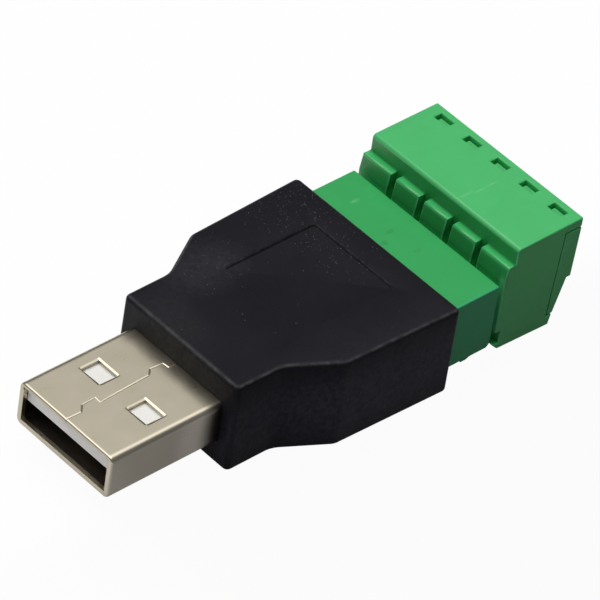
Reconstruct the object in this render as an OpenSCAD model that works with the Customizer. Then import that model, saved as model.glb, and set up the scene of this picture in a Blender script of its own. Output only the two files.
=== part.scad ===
// USB plug to pluggable screw terminal adapter, five ways.
// X runs from the mouth of the USB plug to the wire entries, and Z is up.
// The origin is under the middle of the adapter, on the surface that the housing lies on.
// Inside the modules lengths count from the plug's mouth and heights from the plug's axis.

/* [USB plug] */
// Width of the metal shell
usb_w = 12.2; // [11.8:0.05:12.4]
// Height of the metal shell
usb_h = 4.65; // [4.3:0.05:4.8]
// Length of shell that stands out of the housing
usb_out = 12.7; // [11.75:0.05:14]
// Length of shell that the housing holds
usb_in = 5.9; // [4.5:0.1:7]
// Thickness of the shell's sheet
sheet_t = 0.3; // [0.2:0.05:0.4]
// Inside radius of the shell's bends
bend_r = 0.1; // [0.05:0.05:0.5]
// Distance from the mouth to the latch windows
window_x = 5.3; // [4.8:0.05:6]
// Length of a latch window along the plug
window_l = 2.05; // [1.5:0.05:2.5]
// Width of a latch window
window_w = 2.5; // [2:0.05:3]
// Depth of the insulator's pockets under the latch windows
window_sink = 0.15; // [0.05:0.05:0.4]
// Spacing of the two windows of a side, middle to middle
window_step = 6.3; // [5.5:0.05:7]
// Width of the open joint along the folded seam
seam_t = 0.05; // [0.03:0.01:0.15]
// Place of the seam beside the middle of the top
seam_y = 0.24; // [0:0.01:0.5]
// Distance from the mouth to the first interlocking tab of the seam
seam_tab_x = 1.6; // [1:0.1:3]
// Spacing of the two interlocking tabs
seam_tab_step = 8.1; // [6:0.1:9]
// Length of an interlocking tab
seam_tab_l = 2.4; // [1.8:0.1:3]
// How far a tab reaches across the seam
seam_tab_w = 0.82; // [0.5:0.02:1.2]
// Length of the shell's two soldering tails
tail_l = 1.8; // [1:0.1:2.5]
// Height of the soldering tails
tail_h = 1.5; // [1:0.1:1.8]
// Thickness of the insulator's tongue
tongue_t = 1.84; // [1.6:0.02:2]
// Distance from the mouth back to the tongue's tip
tongue_x = 0.4; // [0.2:0.05:0.8]
// Depth of the mouth below the tongue
mouth_l = 11.9; // [11.5:0.05:12.5]
// Length of the insulator's solid block
block_l = 4.6; // [3:0.1:5]
// Width of a contact
contact_w = 1; // [0.8:0.05:1.2]
// Thickness of a contact
contact_t = 0.25; // [0.15:0.05:0.3]
// How far a contact stands proud of the tongue
contact_proud = 0.08; // [0.04:0.01:0.12]
// Distance of the two outer contacts from the middle
contact_outer_y = 3.5; // [3.3:0.05:3.6]
// Distance of the two inner contacts from the middle
contact_inner_y = 1; // [0.9:0.05:1.1]
// Distance from the mouth to the tips of the outer contacts
contact_outer_x = 1.5; // [1.2:0.05:2]
// Distance from the mouth to the tips of the inner contacts
contact_inner_x = 2.5; // [2.2:0.05:3]
// Length of a contact's tail on the circuit board
contact_tail_l = 2; // [1.5:0.1:3]

/* [Housing] */
// Height of the middle of housing and header over the USB plug's axis
mid_lift = 0.12; // [0:0.02:0.3]
// Length of the housing
housing_l = 24; // [23:0.05:30]
// Height of the housing
housing_h = 9.9; // [9.4:0.05:12]
// Wall beside the USB plug
front_wall = 1.7; // [1.5:0.05:3]
// Wall beside the header
back_wall = 1.25; // [1.1:0.05:2]
// How much each side of the wide part leans in towards the front
side_draft = 0.4; // [0:0.05:0.5]
// Length of the narrow part
waist_l = 5.4; // [4.5:0.05:6]
// Length of the flare between the narrow and the wide part
flare_l = 5.1; // [4:0.1:7]
// Reach of the blend between the narrow part and the flare
waist_blend = 0.8; // [0.5:0.1:2]
// Reach of the blend between the flare and the wide part
knee_blend = 0.4; // [0.3:0.1:1.5]
// Radius of the housing's top edges
edge_r = 0.8; // [0.5:0.05:0.85]
// Radius of the housing's bottom edges
foot_r = 0.4; // [0.2:0.05:0.85]
// Radius of the housing's four upright corners
corner_r = 0.9; // [0.85:0.05:1.1]
// Length of the recessed panel on top
panel_l = 10.9; // [8:0.1:12]
// Width of the recessed panel
panel_w = 10.6; // [8:0.1:14]
// Depth of the recessed panel
panel_d = 0.2; // [0.1:0.05:0.4]
// Corner radius of the recessed panel
panel_r = 0.7; // [0.3:0.1:1.5]
// Distance from the recessed panel to the back of the housing
panel_back = 3.2; // [3:0.1:5]

/* [Circuit board] */
// Thickness of the circuit board
board_t = 1.2; // [0.8:0.1:1.6]
// Margin of the board beside the USB plug
board_margin = 0.7; // [0.5:0.05:1]
// Margin of the board inside the header's sides
board_inset = 0.6; // [0.4:0.05:1]
// Length of the board's narrow front
board_front_l = 5; // [4.5:0.1:6]
// Room for solder above the board
board_room = 1.8; // [1.7:0.1:2.2]

/* [Header] */
// Spacing of the ways
pitch = 3.81; // [3.5:0.01:4]
// Distance from the last way to the end of header and plug
end_margin = 2.2; // [2.1:0.05:2.6]
// Height of the header
header_h = 7.25; // [6.8:0.05:7.4]
// Length of header that stands out of the housing
header_out = 6.15; // [4.5:0.05:6.5]
// Length of header that the housing holds
header_in = 2.45; // [2.3:0.05:4]
// Wall of the header's socket
header_wall = 0.8; // [0.6:0.05:1]
// Thickness of the header's floor
header_floor = 1.6; // [1.2:0.1:2]
// Bevel under the header's mouth
header_bevel = 0.35; // [0.2:0.05:0.6]
// Length of the two feet under the header
foot_l = 0.7; // [0.5:0.05:1.5]
// Height of the two feet under the header
foot_h = 0.2; // [0.1:0.01:0.25]
// Distance from the housing to the feet
foot_x = 2.6; // [1:0.1:3]
// Thickness of a square pin
pin_t = 1; // [0.8:0.05:1]
// Length of pin inside the socket
pin_front = 4.6; // [4:0.1:5]
// Length of pin on the circuit board
pin_tail = 3.2; // [2:0.1:4]

/* [Terminal plug] */
// Length of the plug behind the header's mouth
plug_l = 9.35; // [9:0.05:11]
// Gap between the header's mouth and the plug
plug_gap = 0.55; // [0.3:0.05:0.8]
// Height of the plug's top over the plug's axis
plug_top = 7.25; // [6.8:0.05:8]
// Depth of the plug's bottom under the plug's axis
plug_bottom = 4.4; // [4.2:0.05:4.7]
// How much deeper the plug's bottom lies at its back
back_drop = 0.28; // [0:0.02:0.4]
// Height of the row of ribs over the plug's axis
rib_top = 5.44; // [4.8:0.02:6]
// Length of the ribs
rib_l = 1.15; // [0.8:0.05:1.6]
// Lean of the ribs' front over the header
rib_lean = 0.25; // [0:0.05:0.4]
// Gap between two ribs
rib_gap = 0.75; // [0.4:0.05:0.9]
// Bevel along the ribs' front
rib_bevel = 0.15; // [0.1:0.05:0.4]
// Bevel along the top's front edge
top_bevel = 0.25; // [0.1:0.05:0.4]
// Bevel along the plug's lower front edge
chin_bevel = 0.65; // [0.3:0.05:0.9]
// Length of the plug's nose
nose_l = 6.95; // [6:0.05:7]
// Depth of the slots between the ways along the nose's top
nose_slot_d = 0.6; // [0.3:0.05:0.7]
// Width of a pin's entry hole in the nose
entry_w = 1.5; // [1.3:0.05:1.7]
// Width of the clamp chamber of a way
chamber_w = 3.1; // [3:0.05:3.2]
// Height of the clamp chamber's roof over the plug's axis
chamber_top = 5.4; // [5.1:0.05:5.7]
// Thickness of the wall under the clamp chamber
chamber_floor = 1.05; // [0.8:0.05:1.3]
// Wall between the ribs and the clamp chamber
chamber_wall = 1.05; // [0.8:0.05:1.5]
// Width of a notch in each end near the chin
notch_l = 0.7; // [0.4:0.05:1]
// Height of that notch
notch_h = 1.5; // [1:0.1:2]
// Depth of that notch
notch_d = 0.8; // [0.4:0.1:1]

/* [Rear cover] */
// Thickness of the plug's top over the cover
slab_t = 1; // [0.8:0.05:1.2]
// Thickness of the cover at its top
cover_top_l = 2.05; // [1.7:0.05:2.2]
// Thickness of the cover's back over its seam at the bottom
cover_bottom_l = 0.55; // [0.5:0.05:1]
// Lean of the cover's seam towards the front at the bottom
seam_lean = 0.65; // [0.3:0.05:0.9]
// Height of the plug's lip under the cover
lip_h = 0.9; // [0.5:0.05:1]
// Lean of the cover's back towards the front at its step
back_lean = 0.25; // [0:0.05:0.4]
// Height of the step across the cover's back over the plug's axis
step_z = 0.37; // [0:0.01:0.8]
// Depth of that step
step_d = 0.5; // [0.2:0.05:0.7]
// Length of a snap slot along the row
slot_w = 1.72; // [1.4:0.02:2.2]
// Width of a snap slot
slot_l = 0.92; // [0.7:0.02:1.1]
// Distance from the snap slots to the plug's back
slot_back = 0.75; // [0.4:0.05:0.8]
// Length of a snap hook along the row
hook_w = 1.4; // [0.9:0.02:1.5]
// Depth of the hook's top in its slot
hook_drop = 0.4; // [0.1:0.05:0.6]
// Diameter of a wire entry
wire_d = 1.9; // [1.5:0.05:2]
// Diameter of the entry's funnel at the back
funnel_d = 3; // [2.6:0.05:3.4]
// Depth of the funnel
funnel_l = 0.9; // [0.5:0.05:1.1]

/* [Clamps] */
// Thickness of the plug contacts' sheet
fork_t = 0.4; // [0.3:0.05:0.45]
// Length of a fork's arms
fork_l = 5; // [4:0.1:5.5]
// Distance from the nose's tip to the forks
fork_back = 1.1; // [0.8:0.05:1.5]
// Height of the current bar over the pin's axis
bar_lift = 1.2; // [1.15:0.05:1.3]
// Room behind the current bar
bar_back = 0.7; // [0.4:0.05:1]
// Room in front of a wire cage
cage_front = 0.5; // [0.3:0.05:0.6]
// Length of a wire cage
cage_l = 3.2; // [2.8:0.1:3.3]
// Side wall of a wire cage
cage_wall = 0.4; // [0.3:0.05:0.45]
// Thickness of a cage's threaded wall
cage_nut = 0.8; // [0.6:0.05:0.9]
// Thickness of a cage's pressing wall
cage_jaw = 0.6; // [0.4:0.05:0.7]
// Room for a wire in an open cage
wire_room = 2.3; // [2.2:0.05:2.5]
// Diameter of a terminal screw
screw_d = 2; // [1.8:0.05:2]
// Diameter of a screw's head
head_d = 2.7; // [2.5:0.05:2.75]
// Height of a screw's head
head_h = 1.2; // [1:0.05:1.3]
// Width of the slot in a screw's head
drive_w = 0.5; // [0.4:0.05:0.6]
// Depth of the slot in a screw's head
drive_d = 0.55; // [0.4:0.05:0.7]
// Diameter of the hole for the screwdriver
driver_hole_d = 2.4; // [2.2:0.05:2.45]

/* [Clearances] */
// Gap round a piece that the housing is moulded to
mould_gap = 0.05; // [0.02:0.01:0.1]
// Gap round the insulator inside the shell
insulator_gap = 0.1; // [0.05:0.01:0.15]
// Gap round the plug's nose in the header
nose_gap = 0.15; // [0.1:0.01:0.2]
// Gap between a fork and its pin
fork_gap = 0.05; // [0.03:0.01:0.08]
// Gap beside a cage and under the current bar
cage_gap = 0.1; // [0.08:0.01:0.12]
// Gap round a screw in its cage and at its ends
screw_gap = 0.05; // [0.03:0.01:0.08]
// Joint between the plug and its rear cover
cover_gap = 0.12; // [0.04:0.01:0.14]

/* [Hidden] */
$fn = 48;
eps = 0.05;
ways = 5;
round_steps = 6;

// Places along the adapter
usb_end = usb_out + usb_in;
block_end = mouth_l + block_l;
housing_end = usb_out + housing_l;
header_start = housing_end - header_in;
socket_start = header_start + header_floor;
mouth_x = housing_end + header_out;
plug_x = mouth_x + plug_gap;
riser_x = plug_x + rib_l;
overall_l = plug_x + plug_l;
nose_x = plug_x - nose_l;
chamber_x = riser_x + chamber_wall;
seam_x = overall_l - cover_top_l;
chin_x = seam_x - seam_lean;
axis_z = housing_h / 2 - mid_lift;
housing_top = mid_lift + housing_h / 2;

// Sections
shell_r = bend_r + sheet_t;
header_w = (ways - 1) * pitch + 2 * end_margin;
header_top = mid_lift + header_h / 2;
header_bottom = mid_lift - header_h / 2;
socket_w = header_w - 2 * header_wall;
nose_w = socket_w - 2 * nose_gap;
nose_top = header_top - header_wall - nose_gap;
nose_bottom = header_bottom + header_wall + nose_gap;
front_w = usb_w + 2 * front_wall;
back_w = header_w + 2 * back_wall;

// Board and contacts
board_top = mid_lift - pin_t / 2;
board_bottom = board_top - board_t;
board_x = usb_end + mould_gap;
board_front_w = usb_w + 2 * board_margin;
board_back_w = header_w - 2 * board_inset;
tongue_z = usb_h / 2 - sheet_t - tongue_t;
contact_z = tongue_z - contact_proud;
contact_ys = [-contact_outer_y, -contact_inner_y, contact_inner_y, contact_outer_y];
contact_xs = [contact_outer_x, contact_inner_x, contact_inner_x, contact_outer_x];
contact_end = usb_end + contact_tail_l;

// Clamp of one way, from the current bar outwards
fork_w = pin_t + 2 * (fork_gap + fork_t);
fork_roof = mid_lift + pin_t / 2 + fork_gap;
fork_floor = mid_lift - pin_t / 2 - fork_gap;
fork_x = nose_x + fork_back;
bar_z = mid_lift + bar_lift;
bar_end = chin_x - bar_back;
tunnel_w = fork_w + 2 * cage_gap;
cage_w = chamber_w - 2 * cage_gap;
cage_x = chamber_x + cage_front;
cage_z = bar_z - cage_gap - cage_nut;
jaw_z = bar_z + fork_t + wire_room;
screw_x = cage_x + cage_l / 2;
floor_z = -plug_bottom + chamber_floor;
head_z = floor_z + screw_gap;
wire_z = bar_z + fork_t + wire_room / 2;
hook_top = plug_top - hook_drop;
slot_x = overall_l - slot_back - slot_l;
lip_z = lip_h - plug_bottom;
step_x = overall_l - back_lean - step_d;
cover_end = chin_x + cover_bottom_l;

// Length at height z on the line from the foot at length a to the point b
function lean(a, b, z) = a + (b.x - a) * (z + plug_bottom) / (b.y + plug_bottom);
// Length of the seam and of the cover's lower back at height z
function seam_at(z) = lean(chin_x, [seam_x, plug_top - slab_t], z);
function back_at(z) = lean(cover_end, [step_x, step_z], z);
// Place of way i across the adapter
function way_y(i) = (i - (ways + 1) / 2) * pitch;

// Smooth turn at corner p between points a and b, reaching t along both sides: points with outward normals
function blend(a, p, b, t) = let (back = (a - p) / norm(a - p), on = (b - p) / norm(b - p)) [
    for (s = [0 : 1 / round_steps : 1]) let (way = s * on - (1 - s) * back)
        [p + t * ((1 - s) * (1 - s) * back + s * s * on), [-way.y, way.x] / norm(way)]
];

// Quarter turn about a centre, from the outward normal at angle a to the one at angle b
function corner(centre, a, b) = [
    for (k = [0 : round_steps]) let (turn = a + (b - a) * k / round_steps)
        [centre, [cos(turn), sin(turn)]]
];

// Turns of one interlocking tab of the shell's seam
function seam_tab(x) = [
    [x, seam_y],
    [x + seam_tab_w, seam_y + seam_tab_w],
    [x + seam_tab_l, seam_y + seam_tab_w],
    [x + seam_tab_l - seam_tab_w / 5, seam_y]
];

// Moves a piece from the USB plug's axis into the adapter's frame
module placed() {
    translate([-overall_l / 2, 0, axis_z]) children();
}

// Bar along X with a section given across Y and Z
module along_x(x0, x1) {
    translate([x0, 0, 0]) rotate([90, 0, 90]) linear_extrude(x1 - x0) children();
}

// Side view of points in X and Z, made w wide about y
module across_y(points, w, y = 0) {
    translate([0, y, 0]) rotate([90, 0, 0]) linear_extrude(w, center = true) polygon(points);
}

// Block between two lengths and two heights, w wide about y
module block(x0, x1, w, z0, z1, y = 0) {
    translate([x0, y - w / 2, z0]) cube([x1 - x0, w, z1 - z0]);
}

module rounded_rect(w, h, r) {
    square([w - 2 * r, h], center = true);
    square([w, h - 2 * r], center = true);
    for (y = [-1, 1], z = [-1, 1])
        translate([y * (w / 2 - r), z * (h / 2 - r)]) circle(r);
}

// Thin cut that follows a path
module slit(path, t) {
    for (k = [0 : len(path) - 2]) {
        step = path[k + 1] - path[k];
        translate(path[k]) rotate(atan2(step.y, step.x))
            translate([-t / 2, -t / 2]) square([norm(step) + t, t]);
    }
}

module shell_section(inset) {
    rounded_rect(usb_w - 2 * inset, usb_h - 2 * inset, shell_r - inset);
}

module usb_shell() {
    seam = concat(
        [[-eps, seam_y]], seam_tab(seam_tab_x), seam_tab(seam_tab_x + seam_tab_step), [[usb_end + eps, seam_y]]
    );
    placed() color("silver") difference() {
        union() {
            along_x(0, usb_end) difference() {
                shell_section(0);
                shell_section(sheet_t);
            }
            for (side = [-1, 1])
                block(usb_end - eps, usb_end + tail_l, sheet_t, board_top, board_top + tail_h,
                    side * (usb_w - sheet_t) / 2);
        }
        for (y = [-1, 1])
            block(window_x, window_x + window_l, window_w, -usb_h, usb_h, y * window_step / 2);
        linear_extrude(usb_h) slit(seam, seam_t);
    }
}

module usb_insulator() {
    top = usb_h / 2 - sheet_t;
    outline = [
        [tongue_x, tongue_z], [tongue_x, top], [block_end, top],
        [block_end, -top], [mouth_l, -top], [mouth_l, tongue_z]
    ];
    placed() color("white") difference() {
        intersection() {
            across_y(outline, usb_w);
            along_x(0, usb_end) rounded_rect(usb_w - 2 * (sheet_t + insulator_gap), 2 * top, shell_r);
        }
        for (k = [0 : 3])
            block(contact_xs[k], usb_end, contact_w + insulator_gap, contact_z - insulator_gap,
                contact_z + contact_t, contact_ys[k]);
        for (side = [-1, 1])
            block(window_x - insulator_gap, window_x + window_l + insulator_gap, window_w + 2 * insulator_gap,
                top - window_sink, usb_h, side * window_step / 2);
    }
}

module usb_contact(k) {
    crank_x = block_end + insulator_gap;
    tail_x = usb_end + mould_gap;
    strip = [
        [contact_xs[k], contact_z], [crank_x, contact_z], [tail_x, board_top], [contact_end, board_top],
        [contact_end, board_top + contact_t], [tail_x, board_top + contact_t],
        [crank_x, contact_z + contact_t], [contact_xs[k], contact_z + contact_t]
    ];
    placed() color("gold") across_y(strip, contact_w, contact_ys[k]);
}

// One side of the housing's outline, set back by the corners' radius, as points with outward normals
function housing_side() = let (
    front = front_w / 2,
    back = back_w / 2,
    turns = [[usb_out, front], [usb_out + waist_l, front], [usb_out + waist_l + flare_l, back - side_draft],
        [housing_end, back]],
    edge = concat(
        blend(turns[0], turns[1], turns[2], waist_blend),
        blend(turns[1], turns[2], turns[3], knee_blend)
    )
) concat(
    corner([usb_out + corner_r, front - corner_r], 180, 90),
    [for (e = edge) [e[0] - corner_r * e[1], e[1]]],
    corner([housing_end - corner_r, back - corner_r], 90, 0)
);

// Slab over the housing's outline, lofted through rings that round its top and bottom edges
module housing_form() {
    half = housing_side();
    last = len(half) - 1;
    rim = concat(half, [for (k = [last : -1 : 0]) [for (v = half[k]) [v.x, -v.y]]]);
    count = len(rim);
    turns = [for (k = [0 : round_steps]) 90 * k / round_steps];
    rings = concat(
        [for (a = turns) [corner_r - foot_r + foot_r * sin(a), foot_r - foot_r * cos(a)]],
        [for (a = turns) [corner_r - edge_r + edge_r * cos(a), housing_h - edge_r + edge_r * sin(a)]]
    );
    top = len(rings) - 1;
    points = [for (r = rings, c = rim) [c[0].x + r.x * c[1].x, c[0].y + r.x * c[1].y, r.y - axis_z]];
    sides = [
        for (j = [0 : top - 1], i = [0 : count - 1])
            let (a = j * count + i, b = j * count + (i + 1) % count)
                each [[a, b, b + count], [a, b + count, a + count]]
    ];
    floor_face = [for (i = [count - 1 : -1 : 0]) i];
    roof_face = [for (i = [0 : count - 1]) top * count + i];
    polyhedron(points, concat(sides, [floor_face, roof_face]));
}

module board_plan(gap) {
    back_x = board_x + board_front_l;
    translate([board_x - gap, -board_front_w / 2 - gap])
        square([board_front_l + 2 * gap, board_front_w + 2 * gap]);
    translate([back_x - gap, -board_back_w / 2 - gap])
        square([header_start - back_x + gap, board_back_w + 2 * gap]);
}

module housing() {
    panel_x = housing_end - panel_back - panel_l;
    placed() color("#222126") difference() {
        housing_form();
        translate([panel_x + panel_l / 2, 0, housing_top - panel_d])
            linear_extrude(2 * panel_d) rounded_rect(panel_l, panel_w, panel_r);
        along_x(usb_out - eps, usb_end + eps)
            rounded_rect(usb_w + 2 * mould_gap, usb_h + 2 * mould_gap, shell_r + mould_gap);
        translate([0, 0, board_bottom]) linear_extrude(board_t + board_room) board_plan(mould_gap);
        block(header_start - mould_gap, housing_end + eps, header_w + 2 * mould_gap,
            header_bottom - mould_gap, header_top + mould_gap);
    }
}

module circuit_board() {
    placed() color("darkgreen") translate([0, 0, board_bottom]) linear_extrude(board_t) board_plan(0);
}

module header() {
    outline = [
        [header_start, header_bottom], [mouth_x - header_bevel, header_bottom],
        [mouth_x, header_bottom + header_bevel], [mouth_x, header_top], [header_start, header_top]
    ];
    foot_start = housing_end + foot_x;
    placed() color("mediumseagreen") difference() {
        union() {
            across_y(outline, header_w);
            for (side = [-1, 1])
                block(foot_start, foot_start + foot_l, end_margin / 2, header_bottom - foot_h,
                    header_bottom + eps, side * (header_w / 2 - end_margin / 4));
        }
        block(socket_start, mouth_x + eps, socket_w, header_bottom + header_wall, header_top - header_wall);
        for (i = [1 : ways])
            block(header_start - eps, socket_start + eps, pin_t, mid_lift - pin_t / 2,
                mid_lift + pin_t / 2, way_y(i));
    }
}

module header_pin(i) {
    placed() color("gainsboro")
        block(header_start - pin_tail, socket_start + pin_front, pin_t, mid_lift - pin_t / 2,
            mid_lift + pin_t / 2, way_y(i));
}

// Hollow of one way: pin entry, fork tunnel, clamp chamber, screwdriver hole and snap slot
module way_hollow(y) {
    block(nose_x - eps, fork_x + eps, entry_w, mid_lift - entry_w / 2, mid_lift + entry_w / 2, y);
    block(fork_x - cage_gap, chamber_x + eps, tunnel_w, fork_floor, bar_z + fork_t + cage_gap, y);
    block(chamber_x, overall_l, chamber_w, floor_z, chamber_top, y);
    translate([screw_x, y, -plug_bottom - back_drop - eps])
        cylinder(d = driver_hole_d, h = chamber_floor + back_drop + 2 * eps);
    block(slot_x, slot_x + slot_l, slot_w, plug_top - slab_t - eps, plug_top + eps, y);
}

module plug_body() {
    rib_x = plug_x + rib_lean;
    outline = [
        [plug_x, chin_bevel - plug_bottom], [plug_x, header_top], [rib_x, rib_top - rib_bevel],
        [rib_x + rib_bevel, rib_top], [riser_x, rib_top], [riser_x, plug_top - top_bevel],
        [riser_x + top_bevel, plug_top],
        [overall_l, plug_top], [overall_l, plug_top - slab_t], [seam_x, plug_top - slab_t],
        [seam_at(lip_z), lip_z], [back_at(lip_z), lip_z], [cover_end, -plug_bottom - back_drop],
        [plug_x + chin_bevel, -plug_bottom]
    ];
    notch_z = chin_bevel - plug_bottom;
    placed() color("mediumseagreen") difference() {
        union() {
            across_y(outline, header_w);
            block(nose_x, plug_x + eps, nose_w, nose_bottom, nose_top);
        }
        for (i = [1 : ways]) way_hollow(way_y(i));
        for (i = [1 : ways - 1])
            block(nose_x - eps, riser_x, rib_gap, nose_top - nose_slot_d, rib_top + eps, way_y(i) + pitch / 2);
        for (side = [-1, 1])
            block(plug_x - eps, plug_x + notch_l, 2 * notch_d, notch_z, notch_z + notch_h, side * header_w / 2);
    }
}

module plug_rear_cover() {
    top = plug_top - slab_t - cover_gap;
    foot = lip_z + cover_gap;
    outline = [
        [seam_x + cover_gap, top], [overall_l, top], [overall_l - back_lean, step_z], [step_x, step_z],
        [back_at(foot), foot], [seam_at(foot) + cover_gap, foot]
    ];
    placed() color("mediumseagreen") difference() {
        union() {
            across_y(outline, header_w);
            for (i = [1 : ways])
                block(slot_x + cover_gap, slot_x + slot_l - cover_gap, hook_w, top - eps, hook_top,
                    way_y(i) - (slot_w - hook_w) / 2 + cover_gap);
        }
        for (i = [1 : ways])
            translate([0, way_y(i), wire_z]) rotate([0, 90, 0]) {
                translate([0, 0, chin_x]) cylinder(d = wire_d, h = overall_l - chin_x + eps);
                translate([0, 0, overall_l - funnel_l])
                    cylinder(d1 = wire_d, d2 = funnel_d, h = funnel_l);
            }
    }
}

module plug_contact(i) {
    y = way_y(i);
    crank = chamber_x - chamber_wall;
    strip = [
        [fork_x + fork_l / 2, fork_roof], [crank, fork_roof], [chamber_x, bar_z], [bar_end, bar_z],
        [bar_end, bar_z + fork_t], [chamber_x, bar_z + fork_t], [crank, fork_roof + fork_t],
        [fork_x + fork_l / 2, fork_roof + fork_t]
    ];
    placed() color("goldenrod") {
        across_y(strip, fork_w, y);
        for (side = [-1, 1])
            block(fork_x, fork_x + fork_l, fork_t, fork_floor, fork_roof + eps,
                y + side * (fork_w - fork_t) / 2);
    }
}

module wire_cage(i) {
    placed() color("silver") translate([0, way_y(i), 0]) difference() {
        block(cage_x, cage_x + cage_l, cage_w, cage_z, jaw_z + cage_jaw);
        block(cage_x - eps, cage_x + cage_l + eps, cage_w - 2 * cage_wall, cage_z + cage_nut, jaw_z);
        translate([screw_x, 0, cage_z - eps])
            cylinder(d = screw_d + 2 * screw_gap, h = cage_nut + 2 * eps);
    }
}

module terminal_screw(i) {
    placed() color("silver") translate([screw_x, way_y(i), head_z]) difference() {
        union() {
            cylinder(d = head_d, h = head_h);
            cylinder(d = screw_d, h = bar_z - screw_gap - head_z);
        }
        translate([-head_d, -drive_w / 2, -eps]) cube([2 * head_d, drive_w, drive_d + eps]);
    }
}

usb_shell();
usb_insulator();
for (k = [0 : 3]) usb_contact(k);
housing();
circuit_board();
header();
for (i = [1 : ways]) header_pin(i);
plug_body();
plug_rear_cover();
for (i = [1 : ways]) plug_contact(i);
for (i = [1 : ways]) wire_cage(i);
for (i = [1 : ways]) terminal_screw(i);
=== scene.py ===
# USB terminal adapter: rounded pieces, finishes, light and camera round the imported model
import math

import bmesh
import bpy
import numpy as np
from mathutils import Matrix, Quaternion, Vector


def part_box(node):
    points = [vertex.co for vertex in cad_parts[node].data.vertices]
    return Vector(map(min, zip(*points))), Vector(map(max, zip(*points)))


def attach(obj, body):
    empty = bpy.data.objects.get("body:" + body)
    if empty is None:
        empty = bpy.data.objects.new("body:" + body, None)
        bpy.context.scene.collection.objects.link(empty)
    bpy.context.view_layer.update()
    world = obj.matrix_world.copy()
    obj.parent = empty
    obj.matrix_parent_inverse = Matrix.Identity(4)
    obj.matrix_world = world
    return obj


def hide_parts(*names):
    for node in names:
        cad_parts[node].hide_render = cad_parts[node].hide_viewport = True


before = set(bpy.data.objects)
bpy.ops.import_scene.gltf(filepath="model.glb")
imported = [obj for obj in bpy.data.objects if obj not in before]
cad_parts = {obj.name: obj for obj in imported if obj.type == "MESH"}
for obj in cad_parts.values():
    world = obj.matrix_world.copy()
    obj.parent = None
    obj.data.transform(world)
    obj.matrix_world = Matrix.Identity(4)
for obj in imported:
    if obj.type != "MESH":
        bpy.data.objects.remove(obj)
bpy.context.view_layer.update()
scene = bpy.context.scene
scene.view_settings.view_transform = "Standard"
mm = 0.001
wayCount = 5
print("frame:", len(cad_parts), "nodes loaded")


# camera
cameraSet = {
    "place": (-0.300035, -0.27042, 0.35551),
    "aim": (0.003145, 0.00191, 0.005),
    "roll": 9.215,  # degrees about the line of sight
    "lens": 356.87,
    "sensor": 36.0,
    "clip": (0.01, 20.0),
}


def makeCamera(cfg):
    cam = bpy.data.cameras.new("photoCamera")
    cam.lens = cfg["lens"]
    cam.sensor_width = cfg["sensor"]
    cam.clip_start, cam.clip_end = cfg["clip"]
    obj = bpy.data.objects.new("photoCamera", cam)
    scene.collection.objects.link(obj)
    sight = Vector(cfg["aim"]) - Vector(cfg["place"])
    turn = Quaternion((0.0, 0.0, 1.0), math.radians(cfg["roll"]))
    obj.rotation_mode = "QUATERNION"
    obj.rotation_quaternion = sight.to_track_quat("-Z", "Y") @ turn
    obj.location = cfg["place"]
    scene.camera = obj


makeCamera(cameraSet)


# nodes
def addNode(tree, kind, inputs=None, **settings):
    node = tree.nodes.new(kind)
    for key, value in settings.items():
        setattr(node, key, value)
    for key, value in (inputs or {}).items():
        if isinstance(value, bpy.types.NodeSocket):
            tree.links.new(value, node.inputs[key])
        else:
            node.inputs[key].default_value = value
    return node


def mathNode(tree, operation, a, b=0.0):
    return addNode(tree, "ShaderNodeMath", {0: a, 1: b}, operation=operation).outputs[0]


def spread(tree, value, fromMin, fromMax, toMin, toMax):
    inputs = {0: value, 1: fromMin, 2: fromMax, 3: toMin, 4: toMax}
    return addNode(tree, "ShaderNodeMapRange", inputs).outputs[0]


def easeOver(tree, value, fromMin, fromMax, toMin, toMax):
    inputs = {0: value, 1: fromMin, 2: fromMax, 3: toMin, 4: toMax}
    return addNode(tree, "ShaderNodeMapRange", inputs, interpolation_type="SMOOTHSTEP").outputs[0]


def mixColour(tree, factor, a, b):
    # sockets 6 and 7 are the two colours of a Mix node that works on colours
    return addNode(tree, "ShaderNodeMix", {0: factor, 6: a, 7: b}, data_type="RGBA").outputs[2]


def noise(tree, place, size, detail=2.0, roughness=0.5):
    # size is the pattern's wavelength in millimetres
    inputs = {"Vector": place, "Scale": 1.0 / (size * mm), "Detail": detail, "Roughness": roughness}
    return addNode(tree, "ShaderNodeTexNoise", inputs).outputs["Fac"]


def opaque(colour):
    return (*colour, 1.0)


def newFinish(name):
    mat = bpy.data.materials.new(name)
    mat.use_nodes = True
    tree = mat.node_tree
    place = addNode(tree, "ShaderNodeTexCoord").outputs["Object"]
    return mat, tree, tree.nodes["Principled BSDF"], place


# stage
stageSet = {
    "floorSize": 3.0,
    "floorGap": 0.00002,
    "floorColour": (0.86, 0.86, 0.86),
    "floorShadowColour": (0.13, 0.13, 0.13),  # painted shadow: a darker floor colour along the side away from the lamp, standing in for the floor's shade there
    "floorShadowFromY": (-0.003, -0.008),  # where the pale floor turns into the painted shadow
    "floorShadowFromX": (-0.05, -0.02),
    "whiteShare": 0.96,  # how much of the seen floor is plain white, the rest shows the shadow
    "glossShare": 0.18,
    "skyLow": 0.06,
    "skyTop": 3.4,
    "skyAim": (0.08, 0.16, 1.0),
    "skyRange": (0.7, 1.05),  # cosine of the angle to the aim over which the sky brightens
    "skyGloss": 0.1,
    "keySize": 0.6,
    "keyPlace": (-0.35, 0.2, 0.6),
    "keyPower": 0.9,
}


def whiteFor(tree, seenShare, glossShare):
    # share of plain white in a ray: most for the camera, a little for mirrors and glass
    rays = addNode(tree, "ShaderNodeLightPath").outputs
    gloss = mathNode(tree, "MAXIMUM", rays["Is Glossy Ray"], rays["Is Transmission Ray"])
    seen = mathNode(tree, "MULTIPLY", rays["Is Camera Ray"], seenShare)
    return mathNode(tree, "MAXIMUM", seen, mathNode(tree, "MULTIPLY", gloss, glossShare))


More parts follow.
